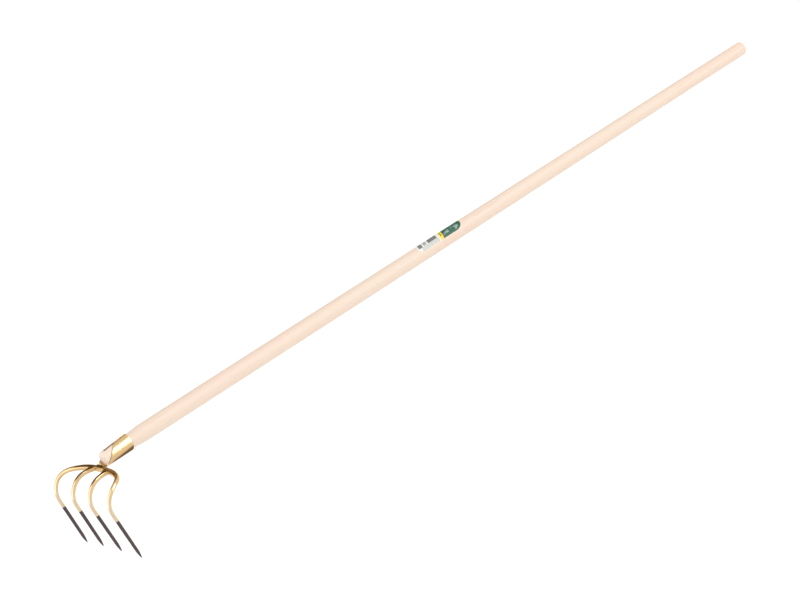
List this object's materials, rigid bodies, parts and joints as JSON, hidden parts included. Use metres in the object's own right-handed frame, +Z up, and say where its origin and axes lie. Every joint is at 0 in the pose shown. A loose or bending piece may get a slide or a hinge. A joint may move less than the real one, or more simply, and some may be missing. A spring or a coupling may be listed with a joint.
{
  "type": "manure drag",
  "caption": "Long-handled rake for dragging stable dung: curved pointed steel tines on a bow bar, with a rolled sheet socket on a tapered ash handle.",
  "frame": {"origin": "middle of the bounding box's underside, on the ground that the tool lies on", "axes": "+Z up, +Y from the tines towards the handle's top end, +X to the right when looking along +Y"},
  "size_m": [0.1942, 1.67, 0.1694],
  "materials": {
    "ash_wood": "sanded, unlacquered",
    "gold_lacquer": "clear gold lacquer over bright steel",
    "black_lacquer": "satin dip lacquer",
    "bright_steel": "drawn wire",
    "label_paper": "printed, semi-gloss"
  },
  "bodies": {
    "root": {"handle": "ash_wood", "socket": "gold_lacquer", "outer_tine_bow": "gold_lacquer", "inner_tine_left": "gold_lacquer", "inner_tine_right": "gold_lacquer", "weld_inner_left_near": "gold_lacquer", "weld_inner_left_far": "gold_lacquer", "weld_inner_right_near": "gold_lacquer", "weld_inner_right_far": "gold_lacquer", "weld_neck": "gold_lacquer", "nail": "bright_steel", "label": "label_paper"}
  },
  "joints": []
}
